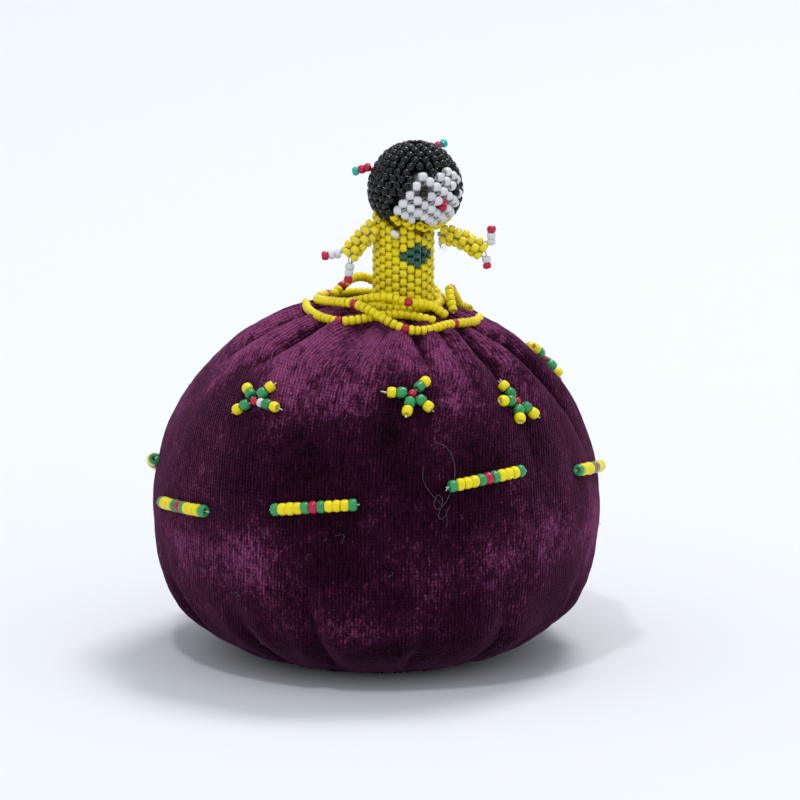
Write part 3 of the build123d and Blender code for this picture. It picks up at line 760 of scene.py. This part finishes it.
def build_beads(node, grow, stretch, hole, wobble, centres=None):
    """Rounded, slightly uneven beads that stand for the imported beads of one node."""
    all_points, all_faces, tones = [], [], []
    count = 0
    for index, (centre, axis, diameter, length) in enumerate(beads_of(node)):
        if centres is not None:
            centre = centres[index]
        wide = diameter * grow * rng.normal(1, 0.022)
        tall = length * stretch * rng.normal(1, wobble)
        points, faces = bead_template(wide, min(tall, length * stretch * 1.1), hole * diameter / 2)
        lobes = 1 + 0.018 * np.sin(np.arctan2(points[:, 1], points[:, 0]) * 2 + rng.uniform(0, 6))
        points[:, :2] *= lobes[:, None]
        points[:, 2] += points[:, 0] * rng.normal(0, 0.035)
        tilt = axis + rng.normal(0, 0.045, 3)
        points = points @ turned(tilt / np.linalg.norm(tilt)).T + centre
        all_points.append(points)
        all_faces.append(faces + count)
        tones.append(np.full(len(points), np.clip(rng.normal(0.62, 0.2), 0, 1)))
        count += len(points)
    slot = SLOT_OF[node]
    piece = make_piece(
        node + "_glass",
        np.concatenate(all_points),
        np.concatenate(all_faces).tolist(),
        GLASS[slot],
        BODY_OF[node],
    )
    tone = piece.data.attributes.new("bead_tone", "FLOAT", "POINT")
    tone.data.foreach_set("value", np.concatenate(tones).astype(np.float32))
    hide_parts(node)


def dome_normal(point):
    normal = np.array(point, float)
    normal[2] -= EQUATOR
    normal /= [BALL_RADIUS**2, BALL_RADIUS**2, CROWN_RISE**2]
    return normal / np.linalg.norm(normal)


def settled(centre, radius):
    """How far along the ball's normal a bead moves to lie on the velvet, in millimetres."""
    normal = dome_normal(centre)
    hit = velvet_tree.ray_cast(Vector(centre + normal * 6), Vector(-normal), 14)
    if hit[0] is None:
        return 0.0
    gap = (centre - np.array(hit[0])) @ normal - radius
    return -float(np.clip(gap + 0.2, -0.6, 1.3))


def nearest_group(centre, groups):
    return min(range(len(groups)), key=lambda i: np.linalg.norm(groups[i] - centre))


def settle_nodes(nodes, heart_node):
    """Shift each sewn-on group so that it lies on the velvet, its beads nearly in line."""
    hearts = [centre for centre, *_ in beads_of(heart_node)]
    shifts = {i: [] for i in range(len(hearts))}
    for node in nodes:
        for centre, _, diameter, _ in beads_of(node):
            shifts[nearest_group(centre, hearts)].append(settled(centre, diameter / 2))
    means = {i: float(np.mean(values)) for i, values in shifts.items()}
    moved = {}
    for node in nodes:
        moved[node] = []
        for centre, _, diameter, _ in beads_of(node):
            mean = means[nearest_group(centre, hearts)]
            shift = 0.4 * mean + 0.6 * settled(centre, diameter / 2)
            moved[node].append(centre + dome_normal(centre) * shift)
    return moved


bar_nodes = ("bar_green_beads", "bar_yellow_beads", "bar_red_beads")
flower_nodes = ("flower_green_beads", "flower_yellow_beads", "flower_red_beads")
sewn_centres = settle_nodes(bar_nodes, "bar_red_beads")
sewn_centres.update(settle_nodes(flower_nodes, "flower_red_beads"))

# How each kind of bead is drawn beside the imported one: how much wider and longer, the hole as a
# share of the width, and how uneven the lengths are. The last row is for all other beads.
BEAD_LOOKS = (
    (("bar_",), (1.03, 1.16, 0.5, 0.05)),
    (("flower_green", "flower_yellow", "flower_red"), (1.03, 1.04, 0.5, 0.05)),
    (("torso_", "collar_"), (1.07, 1.14, 0.5, 0.06)),
    (("hair_",), (1.10, 1.16, 0.5, 0.06)),
    (("crown_",), (1.10, 1.2, 0.5, 0.07)),
    (("face_",), (1.04, 1.32, 0.45, 0.08)),
    (("eye_", "mouth_"), (1.34, 1.16, 0.45, 0.03)),
    (("left_arm_", "right_arm_"), (1.03, 1.1, 0.5, 0.05)),
    (("skirt_",), (1.13, 1.2, 0.45, 0.07)),
    (("",), (1.08, 1.08, 0.45, 0.05)),
)

for node in SLOT_OF:
    if node.endswith(("_beads", "_bead")):
        look = next(look for starts, look in BEAD_LOOKS if node.startswith(starts))
        build_beads(node, *look, sewn_centres.get(node))


# ---- threads ----
def tubes(paths, radius, sides=6):
    """One mesh of round tubes along several paths of points, in millimetres."""
    points, faces = [], []
    count = 0
    for path in paths:
        path = np.asarray(path, float)
        ways = np.gradient(path, axis=0)
        ways /= np.maximum(np.linalg.norm(ways, axis=1, keepdims=True), 1e-9)
        helper = np.array([0, 0, 1.0]) if abs(ways[0][2]) < 0.9 else np.array([1.0, 0, 0])
        side = np.cross(ways[0], helper)
        side /= np.linalg.norm(side)
        for step, (point, way) in enumerate(zip(path, ways)):
            side = side - way * (side @ way)
            side /= np.linalg.norm(side)
            other = np.cross(way, side)
            for k in range(sides):
                angle = 2 * math.pi * k / sides
                points.append(point + radius * (math.cos(angle) * side + math.sin(angle) * other))
            if step:
                a, b = count + (step - 1) * sides, count + step * sides
                for k in range(sides):
                    m = (k + 1) % sides
                    faces.append((a + k, a + m, b + m, b + k))
        last = count + (len(path) - 1) * sides
        faces.append(tuple(count + k for k in reversed(range(sides))))
        faces.append(tuple(last + k for k in range(sides)))
        count += len(path) * sides
    return points, faces


def arc_between(start, end, outward, lift, steps=5):
    t = np.linspace(0, 1, steps)[:, None]
    return start + (end - start) * t + outward * lift * np.sin(math.pi * t)


def weave(name, nodes, centre_of, reach, radius=0.12, lift=0.12, share=1.0):
    """The threads that run through the beads of some nodes and across to their neighbours."""
    ends, owners = [], []
    paths = []
    for node in nodes:
        for centre, axis, _, length in beads_of(node):
            owner = len(owners) // 2
            for way in (-1, 1):
                ends.append(centre + axis * way * length * 0.52)
                owners.append(owner)
            paths.append([ends[-2], ends[-1]])
    ends = np.array(ends)
    joined = set()
    for i, end in enumerate(ends):
        distance = np.linalg.norm(ends - end, axis=1)
        for j in np.argsort(distance)[1:4]:
            pair = (min(i, int(j)), max(i, int(j)))
            near = 0.15 < distance[j] < reach
            if owners[i] == owners[j] or pair in joined or not near:
                continue
            if rng.random() > share:
                continue
            joined.add(pair)
            outward = (end + ends[j]) / 2 - centre_of(end)
            outward /= max(np.linalg.norm(outward), 1e-9)
            paths.append(arc_between(end, ends[j], outward, lift * rng.uniform(0.2, 1.6)))
            break
    points, faces = tubes(paths, radius)
    make_piece(name, points, faces, white_thread, BODY_OF[nodes[0]])


def torso_middle(point):
    return np.array([DOLL_X, 0, point[2]])


def head_middle(point):
    return HEAD_CENTRE


def arm_middle(node):
    places = np.array([centre for centre, *_ in beads_of(node)])
    origin = places.mean(0)
    way = np.linalg.svd(places - origin)[2][0]
    return lambda point: origin + way * ((point - origin) @ way)


weave("torso_weave", ["torso_beads", "torso_motif_beads"], torso_middle, 2.0, 0.13, 0.15)
weave("hair_weave", ["hair_beads", "crown_beads"], head_middle, 1.9, 0.11, 0.1, 0.55)
weave("face_weave", ["face_beads", "eye_beads", "mouth_beads"], head_middle, 2.6, 0.13, 0.15)
for side in ("left", "right"):
    arm_node = side + "_arm_beads"
    weave(side + "_arm_weave", [arm_node], arm_middle(arm_node), 2.2, 0.15, 0.3)

for node in SLOT_OF:
    if node.endswith(("_thread", "_threads", "_cord")):
        cad = frame["nodes"][node]
        cad.data.materials.clear()
        cad.data.materials.append(white_thread)


# ---- padding inside the doll ----
def lathe(profile, columns, centre, grooves):
    """A turned form round a vertical axis, faintly lumpy, from (radius, height) points."""
    rings = []
    angles = np.linspace(0, 2 * math.pi, columns, endpoint=False)
    for radius, height in profile:
        lump = 1 + grooves * np.sin(height * 5.2 + angles)
        ring = np.stack([np.cos(angles) * radius * lump, np.sin(angles) * radius * lump], 1)
        rings.append(np.column_stack([ring, np.full(columns, height)]) + centre)
    last = (len(profile) - 1) * columns
    faces = ring_faces(len(profile), columns)
    faces += [cap_first(columns), tuple(range(last, last + columns))]
    return np.concatenate(rings), faces


face_low, face_high = box_mm("face_beads")
face_way = (face_low + face_high) / 2 - HEAD_CENTRE
face_way /= np.linalg.norm(face_way)
# Painted shade: the torso padding is dark yellow so that the gaps between the torso beads look
# shaded.
core_stuff = cloth_stuff("torso_padding_in_painted_shade", (0.42, 0.27, 0.015), (0.20, 0.12, 0.01))
# Painted shade: the head padding is nearly black behind the hair and grey behind the face, standing
# for thread seen in shade in the gaps between the beads.
head_stuff = cloth_stuff(
    "head_padding_in_painted_shade",
    (0.02, 0.018, 0.02),
    (0.006, 0.005, 0.006),
    face=(tuple(HEAD_CENTRE * MM), tuple(face_way), 0.0058, (0.46, 0.44, 0.46)),
)
core_profile = [
    (CORE_RADIUS - 0.15, h) for h in np.linspace(core_low[2] + 0.2, core_high[2] - 0.4, 90)
]
core_profile.insert(0, (CORE_RADIUS - 2.6, core_low[2]))
core_points, core_faces = lathe(core_profile, 40, [DOLL_X, 0, 0], 0.008)
core_piece = make_piece(
    "torso_padding_in_painted_shade", core_points, core_faces, core_stuff, "cushion"
)
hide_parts("doll_core")

head_profile = [
    (HEAD_SIZE[0] * math.cos(t), HEAD_SIZE[2] * math.sin(t))
    for t in np.linspace(-math.pi / 2 + 0.08, math.pi / 2 - 0.08, 42)
]
head_points, head_faces = lathe(head_profile, 48, HEAD_CENTRE, 0.006)
head_piece = make_piece(
    "head_padding_in_painted_shade", head_points, head_faces, head_stuff, "cushion"
)
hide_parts("head_core")


# ---- loose ends, curls and lint ----
def on_velvet(azimuth, height):
    """A point of the visible velvet at an azimuth in degrees and a height, and its outward normal."""
    share = (height - EQUATOR) / CROWN_RISE
    if share > 0:
        radius = BALL_RADIUS * math.sqrt(1 - share**2)
    else:
        radii, heights = zip(*LOWER_PROFILE)
        radius = float(np.interp(height, heights, radii))
    angle = math.radians(azimuth)
    plain = np.array([radius * math.sin(angle), -radius * math.cos(angle), height])
    normal = dome_normal(plain)
    hit = velvet_tree.ray_cast(Vector(plain + normal * 8), Vector(-normal), 20)
    if hit[0] is None:
        return plain, normal
    return np.array(hit[0]), normal


def drawn_on_velvet(steps, lift):
    """A path over the velvet through (azimuth, height, extra lift) steps, smoothed."""
    points = []
    for azimuth, height, extra in steps:
        point, normal = on_velvet(azimuth, height)
        points.append(point + normal * (lift + extra))
    points = np.array(points)
    for _ in range(2):
        cut = [points[0]]
        for a, b in zip(points, points[1:]):
            cut += [0.75 * a + 0.25 * b, 0.25 * a + 0.75 * b]
        cut.append(points[-1])
        points = np.array(cut)
    return points


def build_curl():
    """The dark thread left curling at one end of the bar on the right of the front."""
    curl = [
        (18.4, 47.0, 0.1), (15.8, 45.2, 0.5), (14.6, 46.8, 0.9), (16.2, 49.2, 0.7),
        (17.8, 47.4, 0.4), (15.6, 44.0, 0.5), (17.0, 43.0, 0.8), (19.0, 46.0, 0.6),
    ]
    long_end = [
        (18.2, 46.8, 0.2), (20.0, 49.5, 0.8), (21.4, 53.0, 1.6), (21.0, 56.5, 2.2),
        (19.2, 58.8, 2.2), (16.6, 59.6, 1.6),
    ]
    faint_end = [(17.6, 46.0, 0.2), (14.2, 49.0, 0.8), (12.2, 52.2, 0.9), (13.0, 54.8, 0.6)]
    hanging = [(18.0, 45.6, 0.2), (18.4, 43.4, 0.3), (18.0, 41.4, 0.2)]
    paths = [drawn_on_velvet(p, 0.2) for p in (curl, long_end, faint_end, hanging)]
    points, faces = tubes(paths, 0.085)
    make_piece("stray_thread_curl", points, faces, dark_thread, "cushion")


def build_lint():
    """Short fibres that cling to the pile all over."""
    middling_radius = 48.0
    paths = []
    for _ in range(60):
        azimuth = rng.uniform(-180, 180)
        height = rng.uniform(6, 78)
        turn = rng.uniform(0, 2 * math.pi)
        length = rng.uniform(0.4, 2.0) if rng.random() < 0.88 else rng.uniform(2, 4)
        steps = []
        for part in range(5):
            reach = length * part / 4
            steps.append(
                (
                    azimuth + math.degrees(reach * math.cos(turn) / middling_radius),
                    height + reach * math.sin(turn),
                    0.35 * math.sin(part) + 0.1,
                )
            )
            turn += rng.normal(0, 0.55)
        paths.append(drawn_on_velvet(steps, 0.08))
    points, faces = tubes(paths, 0.035, 4)
    make_piece("lint", points, faces, lint_stuff, "cushion")


def build_thread_ends():
    """Cut ends of white thread beside bars and flowers."""
    paths = []
    for node, heart_node, clear, chance in (
        ("bar_green_beads", "bar_red_beads", 8, 0.55),
        ("flower_yellow_beads", "flower_red_beads", 3, 0.45),
    ):
        hearts = [centre for centre, *_ in beads_of(heart_node)]
        for index, (centre, axis, _, length) in enumerate(beads_of(node)):
            away = centre - hearts[nearest_group(centre, hearts)]
            if np.linalg.norm(away) < clear or rng.random() > chance:
                continue
            normal = dome_normal(centre)
            way = axis * np.sign(axis @ away)
            start = sewn_centres[node][index] + way * length * 0.5
            reach = rng.uniform(0.5, 1.5)
            bend = np.cross(normal, way) * rng.normal(0, 0.35) - normal * 0.25
            paths.append([start + way * reach * t + bend * t * t for t in np.linspace(0, 1, 5)])
    points, faces = tubes(paths, 0.16)
    make_piece("thread_ends", points, faces, white_thread, "cushion")


def build_tuft():
    """A frayed tuft of thread under the right shoulder."""
    low, high = box_mm("right_arm_beads")
    root = np.array([low[0] + 0.3, (low[1] + high[1]) / 2 - 1.2, high[2] - 2.6])
    paths = []
    for _ in range(14):
        drop = rng.uniform(1.6, 3.4)
        lean = rng.normal(0, 0.5, 2)
        start = root + rng.normal(0, 0.25, 3)
        paths.append(
            [
                start + np.array([lean[0] * t * t, lean[1] * t * t, -drop * t])
                for t in np.linspace(0, 1, 6)
            ]
        )
    points, faces = tubes(paths, 0.05, 4)
    make_piece("thread_tuft", points, faces, white_thread, "cushion")


def build_links():
    """The threads that tie each strung thumb and finger to the beads of its arm."""
    for tail in ("left_thumb", "left_finger", "right_thumb", "right_finger"):
        anchor = tail.split("_")[0] + "_arm_beads"
        strand = beads_of(tail + "_white_beads")
        near = [centre for centre, *_ in beads_of(anchor)]
        first = min(strand, key=lambda bead: min(np.linalg.norm(bead[0] - p) for p in near))[0]
        near.sort(key=lambda p: np.linalg.norm(p - first))
        paths = []
        for start in near[:3]:
            middle = (start + first) / 2 + rng.normal(0, 0.12, 3)
            paths.append(np.array([start, 0.6 * start + 0.4 * middle, middle, first]))
        points, faces = tubes(paths, 0.17)
        make_piece(tail + "_link", points, faces, white_thread, BODY_OF[anchor])


build_links()
build_curl()
build_lint()
build_thread_ends()
build_tuft()


# ---- floor, light and camera ----
def plain_stuff(name, colour, roughness):
    n = Nodes(name)
    n.set(Base_Color=(*colour, 1), Roughness=roughness, Specular_IOR_Level=0.15)
    return n.material


# The paper sweep, in metres: half its width, where its floor ends, the bend and the wall's top.
SWEEP_HALF = 5.0
SWEEP_FLOOR = 2.4
SWEEP_BEND = 1.2
SWEEP_TOP = 4.0


def build_stage():
    """A pale sweep: a floor that curves up into a backdrop far behind."""
    profile = [(-SWEEP_HALF, 0.0), (SWEEP_FLOOR, 0.0)]
    for angle in np.linspace(0, math.pi / 2, 13)[1:]:
        back = SWEEP_FLOOR + SWEEP_BEND * math.sin(angle)
        profile.append((back, SWEEP_BEND - SWEEP_BEND * math.cos(angle)))
    profile.append((SWEEP_FLOOR + SWEEP_BEND, SWEEP_TOP))
    points, faces = [], []
    for y, z in profile:
        points += [(-SWEEP_HALF, y, z), (SWEEP_HALF, y, z)]
    for step in range(len(profile) - 1):
        a = 2 * step
        faces.append((a, a + 1, a + 3, a + 2))
    mesh = bpy.data.meshes.new("sweep")
    mesh.from_pydata(points, [], faces)
    mesh.polygons.foreach_set("use_smooth", [True] * len(faces))
    mesh.materials.append(plain_stuff("pale_paper", (0.82, 0.835, 0.86), 0.85))
    sweep = bpy.data.objects.new("sweep", mesh)
    bpy.context.scene.collection.objects.link(sweep)


def add_light(name, place, size, power, colour, target=(0.005, 0, 0.06)):
    data = bpy.data.lights.new(name, "AREA")
    data.shape = "RECTANGLE"
    data.size, data.size_y = size
    data.energy = power
    data.color = colour
    light = bpy.data.objects.new(name, data)
    light.location = place
    light.rotation_euler = (Vector(target) - Vector(place)).to_track_quat("-Z", "Y").to_euler()
    bpy.context.scene.collection.objects.link(light)


build_stage()
add_light("key_softbox", (0.55, 0.85, 2.25), (0.9, 0.7), 27.0, (1.0, 0.995, 0.99))
add_light("front_glint", (-0.25, -0.62, 1.45), (0.13, 0.13), 4.2, (0.97, 0.98, 1.0))

world = bpy.data.worlds.new("studio")
world.use_nodes = True
background = world.node_tree.nodes["Background"]
background.inputs["Color"].default_value = (0.90, 0.945, 1.0, 1)
background.inputs["Strength"].default_value = 0.69
bpy.context.scene.world = world
bpy.context.scene.view_settings.view_transform = "Standard"

# The camera looks level with the front, 13 degrees down, from far enough away that little
# perspective shows. The view is 190.5 mm wide at the ball's middle.
CAMERA_TILT = math.radians(13)
VIEW_WIDTH = 0.1905
LENS_MM = 500.0
SENSOR_MM = 36.0
TARGET = Vector((0.0057, 0.0, 0.0604))
camera_data = bpy.data.cameras.new("camera")
camera_data.lens = LENS_MM
camera_data.sensor_width = SENSOR_MM
camera_data.clip_end = 20
camera = bpy.data.objects.new("camera", camera_data)
distance = VIEW_WIDTH * LENS_MM / SENSOR_MM
camera.location = TARGET + distance * Vector((0, -math.cos(CAMERA_TILT), math.sin(CAMERA_TILT)))
camera.rotation_euler = (TARGET - camera.location).to_track_quat("-Z", "Y").to_euler()
bpy.context.scene.collection.objects.link(camera)
bpy.context.scene.camera = camera
